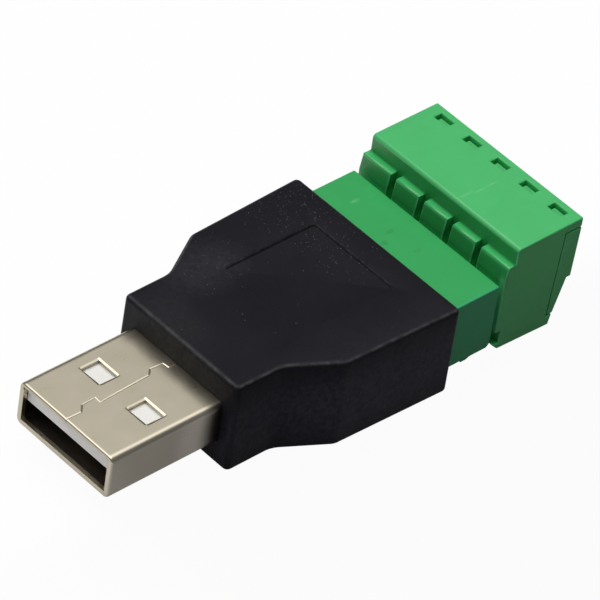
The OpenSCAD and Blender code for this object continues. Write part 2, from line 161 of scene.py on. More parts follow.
def makeStage(cfg):
    half = cfg["floorSize"] / 2
    corners = half * np.array([(-1, -1, 0), (1, -1, 0), (1, 1, 0), (-1, 1, 0)], float)
    corners[:, 2] = -cfg["floorGap"]
    mesh = bpy.data.meshes.new("floor")
    mesh.from_pydata(corners.tolist(), [], [(0, 1, 2, 3)])
    floor = bpy.data.objects.new("floor", mesh)
    scene.collection.objects.link(floor)

    mat = bpy.data.materials.new("paleFloor")
    mat.use_nodes = True
    tree = mat.node_tree
    tree.nodes.clear()
    place = addNode(tree, "ShaderNodeTexCoord").outputs["Object"]
    place = addNode(tree, "ShaderNodeSeparateXYZ", {0: place})
    # painted shadow on the floor along the side away from the lamp
    floorShadow = mathNode(tree, "MULTIPLY", spread(tree, place.outputs["X"], *cfg["floorShadowFromX"], 0.0, 1.0),
                    spread(tree, place.outputs["Y"], *cfg["floorShadowFromY"], 0.0, 1.0))
    tone = mixColour(tree, floorShadow, opaque(cfg["floorColour"]), opaque(cfg["floorShadowColour"]))
    paper = addNode(tree, "ShaderNodeBsdfDiffuse", {"Color": tone})
    white = addNode(tree, "ShaderNodeEmission", {"Color": (1, 1, 1, 1), "Strength": 1.0})
    share = whiteFor(tree, cfg["whiteShare"], cfg["glossShare"])
    mix = addNode(tree, "ShaderNodeMixShader", {0: share, 1: paper.outputs[0], 2: white.outputs[0]})
    addNode(tree, "ShaderNodeOutputMaterial", {"Surface": mix.outputs[0]})
    mesh.materials.append(mat)

    # soft sky, brightest overhead; the camera itself sees plain white past the floor
    world = bpy.data.worlds.new("softSky")
    scene.world = world
    world.use_nodes = True
    tree = world.node_tree
    tree.nodes.clear()
    way = addNode(tree, "ShaderNodeTexCoord").outputs["Generated"]
    aim = Vector(cfg["skyAim"]).normalized()
    toward = addNode(tree, "ShaderNodeVectorMath", {0: way, 1: aim}, operation="DOT_PRODUCT")
    dim, bright = cfg["skyRange"]
    level = easeOver(tree, toward.outputs["Value"], dim, bright, cfg["skyLow"], cfg["skyTop"])
    share = whiteFor(tree, 1.0, cfg["skyGloss"])
    glow = addNode(tree, "ShaderNodeMix", {0: share, 2: level, 3: 1.0}).outputs[0]
    back = addNode(tree, "ShaderNodeBackground", {"Color": (1, 1, 1, 1), "Strength": glow})
    addNode(tree, "ShaderNodeOutputWorld", {"Surface": back.outputs[0]})

    lamp = bpy.data.lights.new("keyBox", "AREA")
    lamp.size = cfg["keySize"]
    lamp.energy = cfg["keyPower"]
    key = bpy.data.objects.new("keyBox", lamp)
    scene.collection.objects.link(key)
    key.location = cfg["keyPlace"]
    key.rotation_euler = (-Vector(cfg["keyPlace"])).to_track_quat("-Z", "Y").to_euler()


makeStage(stageSet)
print("stage: floor, sky and key light")


# finishes
noiseMid = (0.3, 0.7)  # most of a noise's values lie between these
noiseNarrow = (0.35, 0.65)
spotCore = 0.2  # share of a mark's reach that has its full colour
frayLook = {"size": 0.5, "share": (0.4, 1.0)}


def plasticFinish(name, look):
    mat, tree, shader, place = newFinish(name)
    cloud = noise(tree, place, look["cloudSize"], 4.0, 0.6)
    cloudShare = spread(tree, cloud, *noiseNarrow, 0.0, 1.0)
    tone = mixColour(tree, cloudShare, opaque(look["base"]), opaque(look["shade"]))
    grain = noise(tree, place, look["grainSize"], 2.0)
    rough = spread(tree, noise(tree, place, look["cloudSize"] / 3, 3.0), *noiseMid, *look["rough"])
    tone = softMarks(tree, place, tone, look)
    if "edge" in look:
        # painted highlight on the rounds of a moulding, which carry this attribute
        roundHighlight = addNode(tree, "ShaderNodeAttribute", attribute_name="edgeRound").outputs["Fac"]
        colour, share = look["edge"]
        tone = mixColour(tree, mathNode(tree, "MULTIPLY", roundHighlight, share), tone, opaque(colour))
    if "ridgeHighlight" in look:
        tone = paintRidgeHighlight(tree, place, tone, look["ridgeHighlight"])
    if "specks" in look:
        tone = dustSpecks(tree, place, tone, look["specks"])
    tree.links.new(tone, shader.inputs["Base Color"])
    tree.links.new(rough, shader.inputs["Roughness"])
    shader.inputs["Specular IOR Level"].default_value = look["gloss"]
    bump = addNode(tree, "ShaderNodeBump", {"Height": grain, "Strength": look["grainStrength"],
                                           "Distance": look["grainDepth"] * mm})
    tree.links.new(bump.outputs[0], shader.inputs["Normal"])
    return mat


def fadedSpot(tree, place, at, size, share):
    # fades with the distance from its middle, counted in its own three sizes
    inputs = {"Vector": place, "Location": Vector(at) * mm, "Scale": Vector(size) * mm}
    local = addNode(tree, "ShaderNodeMapping", inputs, vector_type="TEXTURE").outputs[0]
    away = addNode(tree, "ShaderNodeVectorMath", {0: local}, operation="LENGTH").outputs["Value"]
    return easeOver(tree, away, spotCore, 1.0, share, 0.0)


def softMarks(tree, place, tone, look):
    # a noise frays the marks, the shades stay smooth
    if "marks" in look:
        fray = spread(tree, noise(tree, place, frayLook["size"], 3.0), *noiseMid, *frayLook["share"])
        for at, size, colour, share in look["marks"]:
            # marks hold stains as well as painted light and painted shade, all frayed by the noise
            frayedShare = mathNode(tree, "MULTIPLY", fadedSpot(tree, place, at, size, share), fray)
            tone = mixColour(tree, frayedShare, tone, opaque(colour))
    for at, size, colour, share in look.get("shades", ()):
        tone = mixColour(tree, fadedSpot(tree, place, at, size, share), tone, opaque(colour))
    return tone


def paintRidgeHighlight(tree, place, tone, look):
    # painted highlight band between three heights, broken up by a noise: nothing at the lowest and the
    # highest, most at the middle one
    level = addNode(tree, "ShaderNodeSeparateXYZ", {0: place}).outputs["Z"]
    low, most, high = (v * mm for v in look["heights"])
    rising = spread(tree, level, low, most, 0.0, 1.0)
    falling = spread(tree, level, most, high, 1.0, 0.0)
    band = mathNode(tree, "MULTIPLY", rising, falling)
    breakup = spread(tree, noise(tree, place, look["size"], 3.0), *noiseNarrow, *look["share"])
    return mixColour(tree, mathNode(tree, "MULTIPLY", band, breakup), tone, opaque(look["colour"]))


def dustSpecks(tree, place, tone, look):
    # a few cells of a cell pattern keep a pale dot, some paler than others, and more of them in the clusters
    cells = addNode(tree, "ShaderNodeTexVoronoi", {"Vector": place, "Scale": 1.0 / (look["cell"] * mm)})
    chance = addNode(tree, "ShaderNodeSeparateColor", {0: cells.outputs["Color"]})
    disc = spread(tree, cells.outputs["Distance"], look["dot"], look["dotCore"], 0.0, 1.0)
    dot = mathNode(tree, "MULTIPLY", disc, spread(tree, chance.outputs[1], 0.0, 1.0, look["faintest"], 1.0))
    keep = look["fewest"]
    for at, reach, share in look["clusters"]:
        inputs = {0: place, 1: Vector(at) * mm}
        away = addNode(tree, "ShaderNodeVectorMath", inputs, operation="DISTANCE").outputs["Value"]
        keep = mathNode(tree, "SUBTRACT", keep, spread(tree, away, 0.0, reach * mm, share, 0.0))
    chosen = mathNode(tree, "GREATER_THAN", chance.outputs[0], keep)
    return mixColour(tree, mathNode(tree, "MULTIPLY", dot, chosen), tone, opaque(look["colour"]))


cloudRough = (-0.03, 0.03)  # what the cloudy pattern adds to a metal's roughness


def metalFinish(name, look):
    mat, tree, shader, place = newFinish(name)
    brushed = addNode(tree, "ShaderNodeMapping", {"Vector": place, "Scale": look["stretch"]}).outputs[0]
    streak = noise(tree, brushed, look["streakSize"], 3.0)
    cloud = noise(tree, place, look["cloudSize"], 3.0)
    cloudShare = spread(tree, cloud, *noiseMid, 0.0, 1.0)
    tone = mixColour(tree, cloudShare, opaque(look["base"]), opaque(look["shade"]))
    tone = softMarks(tree, place, tone, look)
    tree.links.new(tone, shader.inputs["Base Color"])
    shader.inputs["Metallic"].default_value = 1.0
    rough = mathNode(tree, "ADD", spread(tree, streak, *noiseMid, *look["rough"]),
                     spread(tree, cloud, *noiseMid, *cloudRough))
    tree.links.new(rough, shader.inputs["Roughness"])
    bump = addNode(tree, "ShaderNodeBump", {"Height": streak, "Strength": look["grainStrength"],
                                           "Distance": look["grainDepth"] * mm})
    tree.links.new(bump.outputs[0], shader.inputs["Normal"])
    return mat


hookY = (-7.66, -3.85, -0.04, 3.77, 7.58)
ribGapY = (-5.715, -1.905, 1.905, 5.715)
plastics = {
    "terminalGreen": {
        "base": (0.033, 0.515, 0.127), "shade": (0.03, 0.48, 0.117), "rough": (0.4, 0.48), "gloss": 0.8,
        "edge": ((0.14, 0.66, 0.27), 0.6),
        "cloudSize": 4.0, "grainSize": 0.12, "grainStrength": 0.2, "grainDepth": 0.004,
        "marks": [  # middle, sizes, colour and share of each mark
            ((19.4, -1.35, 12.1), (1.3, 0.22, 0.3), (0.2, 0.6, 0.3), 0.5),
            ((21.0, -1.65, 12.1), (0.9, 0.18, 0.3), (0.2, 0.6, 0.3), 0.5),
            ((22.5, -1.6, 12.1), (1.1, 0.16, 0.3), (0.2, 0.6, 0.3), 0.45),
            # painted shadow line of a small moulded dash on the cover's side
            ((24.8, -9.82, 7.12), (0.22, 0.2, 0.1), (0.005, 0.05, 0.02), 0.9),
            # painted shade on the snap hooks' sunken ledges and in the gaps between the ribs
            *[((25.1, y, 11.65), (0.7, 1.1, 0.3), (0.022, 0.33, 0.083), 0.8) for y in hookY],
            *[((17.6, y, 9.1), (1.6, 0.65, 1.8), (0.001, 0.012, 0.004), 1.0) for y in ribGapY],
        ],
        "shades": [  # painted shade on the ribs' fronts, the step behind them and the gap before the header, and painted light on the shoulder's face in that gap
            ((17.13, 0.0, 9.3), (0.4, 26.0, 2.2), (0.009, 0.14, 0.034), 0.72),
            ((18.1, 0.0, 11.1), (0.22, 26.0, 2.5), (0.0105, 0.16, 0.04), 0.68),
            ((16.75, -8.9, 5.0), (0.6, 0.6, 9.0), (0.025, 0.22, 0.085), 0.65),
            ((17.03, -9.45, 4.5), (0.2, 0.6, 8.0), (0.14, 0.8, 0.34), 0.7),
        ],
    },
    "headerGreen": {
        "base": (0.0255, 0.397, 0.098), "shade": (0.0235, 0.37, 0.0905), "rough": (0.4, 0.48), "gloss": 0.35,
        "edge": ((0.1, 0.5, 0.2), 0.4),
        "cloudSize": 4.0, "grainSize": 0.12, "grainStrength": 0.2, "grainDepth": 0.004,
        "marks": [
            ((13.5, 6.5, 8.57), (0.8, 0.3, 0.3), (0.2, 0.6, 0.3), 0.5),
            ((13.3, 1.5, 8.57), (0.7, 0.35, 0.3), (0.015, 0.2, 0.05), 0.6),
            ((11.8, 0.65, 8.57), (0.5, 0.5, 0.3), (0.015, 0.18, 0.05), 0.7),
            ((13.6, -1.85, 8.57), (0.7, 0.3, 0.3), (0.015, 0.2, 0.05), 0.5),
        ],
        "shades": [((13.4, -9.85, 5.0), (14.0, 0.5, 12.0), (0.037, 0.397, 0.18), 0.8)],  # painted reflection: the -Y side greyer
    },
    "housingBlack": {
        "base": (0.004, 0.0035, 0.0075), "shade": (0.006, 0.0055, 0.01), "rough": (0.45, 0.55), "gloss": 0.14,
        "cloudSize": 5.0, "grainSize": 0.2, "grainStrength": 1.0, "grainDepth": 0.02,
        "marks": [
            # painted sheen on the top's left part, painted light on the front face and on the -Y side
            ((-5.6, 6.3, 9.9), (6.5, 4.5, 1.5), (0.027, 0.0265, 0.033), 0.75),
            ((-12.5, 2.5, 9.9), (4.0, 6.0, 1.5), (0.02, 0.019, 0.022), 0.6),
            ((-13.6, 0.0, 8.0), (0.6, 9.0, 6.0), (0.032, 0.032, 0.032), 0.9),
            ((0.0, -11.0, 4.0), (40.0, 8.0, 7.0), (0.06, 0.058, 0.082), 0.9),
        ],
        # painted highlight along the top edges and the panel's lip
        "ridgeHighlight": {
            "heights": (9.64, 9.8, 9.89), "size": 0.6, "share": (0.4, 1.0), "colour": (0.07, 0.069, 0.072),
        },
        "specks": {
            "cell": 0.19, "dot": 0.36, "dotCore": 0.144, "faintest": 0.15, "fewest": 0.996,
            "colour": (0.11, 0.11, 0.118),
            "clusters": [  # middle, reach and share of each cluster
                ((7.5, 7.5, 9.9), 6.5, 0.35), ((6.5, 1.5, 9.9), 4.5, 0.22), ((-5.0, 6.5, 9.9), 5.5, 0.15),
            ],
        },
    },
    "insulatorWhite": {
        "base": (0.88, 0.865, 0.82), "shade": (0.85, 0.835, 0.79), "rough": (0.4, 0.5), "gloss": 0.5,
        "cloudSize": 3.0, "grainSize": 0.1, "grainStrength": 0.2, "grainDepth": 0.003,
        "shades": [  # painted light on the tongue's front end
            ((-26.2, 0.0, 6.0), (4.0, 40.0, 4.0), (0.93, 0.915, 0.885), 1.0),
        ],
    },
    "boardMask": {
        "base": (0.02, 0.18, 0.07), "shade": (0.016, 0.15, 0.06), "rough": (0.3, 0.4), "gloss": 0.5,
        "cloudSize": 2.0, "grainSize": 0.1, "grainStrength": 0.2, "grainDepth": 0.004,
    },
}
metals = {
    "shellNickel": {
        "base": (0.575, 0.53, 0.4), "shade": (0.575, 0.515, 0.41), "rough": (0.29, 0.31), "cloudSize": 2.5,
        "streakSize": 0.6, "stretch": (0.3, 1.0, 1.0), "grainStrength": 0.0, "grainDepth": 0.0005,
        "shades": [  # greyer side, with painted light on the side toward the housing and painted shadow where it goes in
            ((-20.0, -6.3, 4.4), (40.0, 0.6, 9.0), (0.6, 0.56, 0.49), 0.7),
            ((-16.3, -6.3, 4.8), (3.6, 0.6, 6.0), (0.8, 0.735, 0.65), 0.8),
            ((-13.9, -6.3, 4.8), (2.7, 0.6, 6.0), (0.07, 0.064, 0.061), 0.9),
        ],
    },
    # darker copy of the nickel for the inner faces: painted shade inside the shell
    "shellInsideShaded": {
        "base": (0.1, 0.085, 0.07), "shade": (0.08, 0.07, 0.055), "rough": (0.45, 0.55), "cloudSize": 3.0,
        "streakSize": 0.1, "stretch": (0.12, 1.0, 1.0), "grainStrength": 0.05, "grainDepth": 0.002,
    },
    "contactGold": {
        "base": (0.9, 0.66, 0.27), "shade": (0.84, 0.6, 0.23), "rough": (0.16, 0.26), "cloudSize": 2.0,
        "streakSize": 0.08, "stretch": (0.15, 1.0, 1.0), "grainStrength": 0.1, "grainDepth": 0.002,
    },
    "pinTin": {
        "base": (0.74, 0.73, 0.7), "shade": (0.66, 0.65, 0.62), "rough": (0.24, 0.36), "cloudSize": 2.0,
        "streakSize": 0.08, "stretch": (0.15, 1.0, 1.0), "grainStrength": 0.12, "grainDepth": 0.002,
    },
    "forkBrass": {
        "base": (0.78, 0.63, 0.33), "shade": (0.7, 0.55, 0.27), "rough": (0.24, 0.36), "cloudSize": 2.0,
        "streakSize": 0.08, "stretch": (0.15, 1.0, 1.0), "grainStrength": 0.12, "grainDepth": 0.002,
    },
    "clampZinc": {
        "base": (0.68, 0.68, 0.66), "shade": (0.58, 0.58, 0.57), "rough": (0.28, 0.4), "cloudSize": 1.5,
        "streakSize": 0.1, "stretch": (1.0, 1.0, 0.2), "grainStrength": 0.15, "grainDepth": 0.003,
    },
}
finishes = {name: plasticFinish(name, look) for name, look in plastics.items()}
finishes.update({name: metalFinish(name, look) for name, look in metals.items()})
print("finishes:", len(finishes), "made")


# meshes
def gridQuads(rows, cols, wrap):
    # corner numbers of the quads of a rows by cols grid of points, closed round its columns if wrap
    span = cols if wrap else cols - 1
    j, i = np.meshgrid(np.arange(rows - 1), np.arange(span), indexing="ij")
    n = (i + 1) % cols
    return np.stack([j * cols + i, j * cols + n, (j + 1) * cols + n, (j + 1) * cols + i], axis=-1)


def pieceFromGrids(name, grids, finish, sharpAngle):
    # grids are (points, wrap, keep): points in mm on a grid, keep a mask of its quads or None
    points, quads, start = [], [], 0
    for grid, wrap, keep in grids:
        rows, cols = grid.shape[:2]
        faces = gridQuads(rows, cols, wrap)
        if keep is not None:
            faces = faces[keep]
        points.append(grid.reshape(-1, 3) * mm)
        quads.append(faces.reshape(-1, 4) + start)
        start += rows * cols
    mesh = bpy.data.meshes.new(name)
    mesh.from_pydata(np.concatenate(points).tolist(), [], np.concatenate(quads).tolist())
    form = bmesh.new()
    form.from_mesh(mesh)
    bmesh.ops.remove_doubles(form, verts=form.verts, dist=1e-7)
    bmesh.ops.dissolve_degenerate(form, edges=form.edges, dist=1e-8)
    bmesh.ops.recalc_face_normals(form, faces=form.faces)
    form.to_mesh(mesh)
    form.free()
    mesh.shade_smooth()
    return linkPiece(name, mesh, finish, sharpAngle)


def linkPiece(name, mesh, finish, sharpAngle):
    mesh.materials.clear()
    mesh.materials.append(finishes[finish])
    mesh.set_sharp_from_angle(angle=math.radians(sharpAngle))
    obj = bpy.data.objects.new(name, mesh)
    scene.collection.objects.link(obj)
    return obj


def standFor(obj, node, body):
    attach(obj, body)
    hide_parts(node)


# housing
housingLook = {
    "frontWidth": 15.6, "backWidth": 22.14, "draft": 0.4,  # mm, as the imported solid
    "waist": 5.4, "flare": 5.1, "waistBlend": 0.8, "kneeBlend": 0.4,
    "edge": 0.55, "footEdge": 0.4, "corner": 0.6, "steps": 10,
    "panelSize": (10.9, 10.6), "panelBack": 3.2, "panelDepth": 0.3, "panelCorner": 0.35, "panelLip": 0.16,
    "panelSteps": 4, "taper": 0.018,  # share by which the front is narrower at its top
    "pocketGap": 0.03, "pocketDepth": 2.0, "pocketSteps": 6, "shellRound": 0.5, "headerRound": 0.05,
    "headerFeet": 0.2,  # how far the header's feet reach under its floor
    "sharp": 38,
}
shellProud = {"side": 0.15, "under": 0.1}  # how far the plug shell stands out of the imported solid


def blendTurn(a, p, b, reach, steps):
    # quadratic curve round corner p, with the outward normal a quarter turn left of its tangent
    back, on = ((q - p) / np.linalg.norm(q - p) for q in (a, b))
    s = np.linspace(0.0, 1.0, steps + 1)[:, None]
    point = p + reach * ((1 - s) ** 2 * back + s ** 2 * on)
    way = s * on - (1 - s) * back
    way /= np.linalg.norm(way, axis=1, keepdims=True)
    return point, np.stack([-way[:, 1], way[:, 0]], axis=1)


def cornerFan(centre, fromTurn, toTurn, steps):
    turn = np.radians(np.linspace(fromTurn, toTurn, steps + 1))
    return np.repeat([centre], steps + 1, axis=0), np.stack([np.cos(turn), np.sin(turn)], axis=1)


def mirrored(points, normals):
    flip = np.array([1.0, -1.0])
    return np.concatenate([points, points[::-1] * flip]), np.concatenate([normals, normals[::-1] * flip])


def quarter(steps):
    return np.radians(np.linspace(0.0, 90.0, steps + 1))


def rimRows(core, normal, profile):
    # every profile row (out, height) pushes the core outline out along its normals
    profile = np.asarray(profile)
    flat = core[None] + profile[:, 0, None, None] * normal[None]
    rise = np.broadcast_to(profile[:, 1, None, None], (*flat.shape[:2], 1))
    return np.concatenate([flat, rise], axis=2)


def roundedLoop(halfWide, low, high, radius, steps):
    # rounded rectangle in Y and Z, and the corner number of each of its points
    centres = [(halfWide - radius, high - radius), (-halfWide + radius, high - radius),
               (-halfWide + radius, low + radius), (halfWide - radius, low + radius)]
    fans = [cornerFan(c, 90.0 * k, 90.0 * k + 90.0, steps) for k, c in enumerate(centres)]
    loop = np.concatenate([c + radius * n for c, n in fans])
    return loop, np.repeat(np.arange(4), steps + 1)


def pocketRing(x, inward, frameRect, pocket, radius, depth, steps):
    # flat face from a rectangle to a rounded pocket, then the pocket's wall and end
    loop, corner = roundedLoop(*pocket, radius, steps)
    halfWide, low, high = frameRect
    outer = np.array([(halfWide, high), (-halfWide, high), (-halfWide, low), (halfWide, low)])[corner]
    middle = np.repeat([[0.0, (pocket[1] + pocket[2]) / 2]], len(loop), axis=0)
    rows = np.stack([outer, loop, loop, middle])
    along = x + inward * np.array([0.0, 0.0, depth, depth])
    return np.concatenate([np.broadcast_to(along[:, None, None], (*rows.shape[:2], 1)), rows], axis=2)


def makeHousing(cfg):
    lo, hi = (np.array(v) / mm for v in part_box("housing"))
    x0, x1, top = lo[0], hi[0], hi[2]
    r, f, c, n = cfg["edge"], cfg["footEdge"], cfg["corner"], cfg["steps"]
    front, back = cfg["frontWidth"] / 2, cfg["backWidth"] / 2
    turns = np.array([(x0, front), (x0 + cfg["waist"], front),
                      (x0 + cfg["waist"] + cfg["flare"], back - cfg["draft"]), (x1, back)])
    waist = blendTurn(*turns[:3], cfg["waistBlend"], n)
    knee = blendTurn(*turns[1:], cfg["kneeBlend"], n)
    fans = [cornerFan((x0 + c, front - c), 180, 90, n), cornerFan((x1 - c, back - c), 90, 0, n)]
    side = np.concatenate([waist[0] - c * waist[1], knee[0] - c * knee[1]])
    core = np.concatenate([fans[0][0], side, fans[1][0]])
    normal = np.concatenate([fans[0][1], waist[1], knee[1], fans[1][1]])
    half = len(core)
    core, normal = mirrored(core, normal)

    # upright wall with quarter rounds at its foot and its head, carried round the outline
    q = quarter(n)
    foot = np.stack([c - f + f * np.sin(q), f - f * np.cos(q)], axis=1)
    head = np.stack([c - r + r * np.cos(q), top - r + r * np.sin(q)], axis=1)
    wall = rimRows(core, normal, np.concatenate([foot, head]))
    keep = np.ones((len(wall) - 1, len(core)), bool)
    keep[n, [half - 1, -1]] = False  # flat front and back faces, made with their pockets below

    # top face to the panel, its lip, wall and floor, on rows that share the outline's count of points
    long, wide = cfg["panelSize"]
    pr, lip, deep = cfg["panelCorner"], cfg["panelLip"], top - cfg["panelDepth"]
    px1 = x1 - cfg["panelBack"]
    px0 = px1 - long
    run = np.linspace(px0 + pr, px1 - pr, len(side))
    inner = wide / 2 - pr
    level = np.full(len(side), inner)
    fans = [cornerFan((px0 + pr, inner), 180, 90, n), cornerFan((px1 - pr, inner), 90, 0, n)]
    panelCore = np.concatenate([fans[0][0], np.stack([run, level], axis=1), fans[1][0]])
    panelNormal = np.concatenate([fans[0][1], np.tile([0.0, 1.0], (len(side), 1)), fans[1][1]])
    panelCore, panelNormal = mirrored(panelCore, panelNormal)
    small = quarter(cfg["panelSteps"])
    lipRows = np.stack([pr + lip - lip * np.sin(small), top - lip + lip * np.cos(small)], axis=1)
    footRows = np.stack([pr - lip + lip * np.cos(small), deep + lip - lip * np.sin(small)], axis=1)
    panel = rimRows(panelCore, panelNormal, np.concatenate([lipRows, footRows]))
    middle = np.broadcast_to([(px0 + px1) / 2, 0.0, deep], panel[:1].shape)
    roof = np.concatenate([wall[-1:], (wall[-1:] + panel[:1]) / 2, panel, middle])
    keel = np.broadcast_to([(px0 + px1) / 2, 0.0, lo[2]], wall[:1].shape)
    base = np.concatenate([wall[:1], keel])

    # pockets that hold the plug shell and the header
    gap = cfg["pocketGap"]
    grids = [(wall, True, keep), (roof, True, None), (base, True, None)]
    ends = [("usb_shell", x0, 1.0, front - c, cfg["shellRound"]),
            ("header", x1, -1.0, back - c, cfg["headerRound"])]
    for node, x, inward, halfWide, radius in ends:
        a, b = (np.array(v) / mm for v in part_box(node))
        feet = cfg["headerFeet"] if node == "header" else 0.0
        proud = shellProud if node == "usb_shell" else {"side": 0.0, "under": 0.0}
        pocket = (b[1] + gap + proud["side"], a[2] + feet - gap - proud["under"], b[2] + gap)
        face = (halfWide, f, top - r)
        ring = pocketRing(x, inward, face, pocket, radius + gap, cfg["pocketDepth"], cfg["pocketSteps"])
        grids.append((ring, True, None))
    for points, _, _ in grids:
        # the front narrows a little from its foot to its top
        points[..., 1] *= 1 - cfg["taper"] * points[..., 2] / top * (x1 - points[..., 0]) / (x1 - x0)
    obj = pieceFromGrids("housingShell", grids, "housingBlack", cfg["sharp"])
    standFor(obj, "housing", "adapter")


makeHousing(housingLook)
print("housing: shell with panel and pockets")


# plug shell
shellLook = {
    "length": 18.6, "tail": 1.8, "tailHeight": (-0.38, 1.12), "sheet": 0.3, "bend": 0.65, "bendSteps": 10,
    "seamY": (0.06, 0.1),  # beside the middle, at the mouth and at the end
    "seamTabs": [[(1.65, 0.02), (2.3, 0.7), (3.8, 0.78), (3.76, 0.06)],
                 [(9.75, 0.3), (10.34, 0.87), (11.7, 0.78), (11.79, 0.06)]],
    # how far the rows at a tab's four corners lie past them, on the seam's +Y side and on its -Y side
    "tabLean": [(0.0, 0.0), (0.0, 0.0), (0.05, -0.4), (0.3, -0.1)],
    "seamGap": 0.02, "seamLip": (0.15, 0.045),  # width and drop of the seam's bright lip
    "windowX": (5.3, 7.35), "windowY": (1.9, 4.4), "windowRim": (0.22, 0.09),  # rim: width and drop
    "mouthAt": -0.2, "mouthRoll": 0.22, "mouthSteps": 10,
    "lipTop": 0.36, "lipThick": 0.6, "lipLong": 0.5,  # the mouth's lip: over the tongue, elsewhere, inwards
    "margin": 0.1,  # plain strip beside each bend
    "sharp": 10, "edge": 0.04, "edgeSteps": 2, "edgeAngle": 50,
}
sliver = 0.01  # mm, for telling faces apart by their place
tiny = 1e-6


def shellRing(cfg, wide, high):
    # the tube's section from one side of the seam round to the other, as Y and Z
    near, far = cfg["windowY"]
    rim, r = cfg["windowRim"][0], cfg["bend"]
    low, top = cfg["tailHeight"]
    flat, upright, margin = wide - r, high - r, cfg["margin"]
    corners = [((flat, upright), 90), ((flat, -upright), 0),
               ((-flat, -upright), -90), ((-flat, upright), -180)]
    fans = [cornerFan(centre, turn, turn - 90, cfg["bendSteps"]) for centre, turn in corners]
    bends = [centre + r * normal for centre, normal in fans]
    normals = [normal for _, normal in fans]
    sides = np.array([(wide, v) for v in (upright - margin, top, low, margin - upright)])
    across = np.array([near - rim, near, far, far + rim, flat - margin])
    roof = np.stack([across, np.full(len(across), high)], axis=1)
    right, left, up = np.array([(1.0, 0.0)]), np.array([(-1.0, 0.0)]), np.array([(0.0, 1.0)])
    ring = np.concatenate([roof, bends[0], sides, bends[1], roof[::-1] * (1, -1), -roof, bends[2],
                           sides[::-1] * (-1, 1), bends[3], roof[::-1] * (-1, 1)])
    n, m = len(roof), len(sides)
    out = np.concatenate([up.repeat(n, 0), normals[0], right.repeat(m, 0), normals[1], -up.repeat(2 * n, 0),
                          normals[2], left.repeat(m, 0), normals[3], up.repeat(n, 0)])
    return ring, out


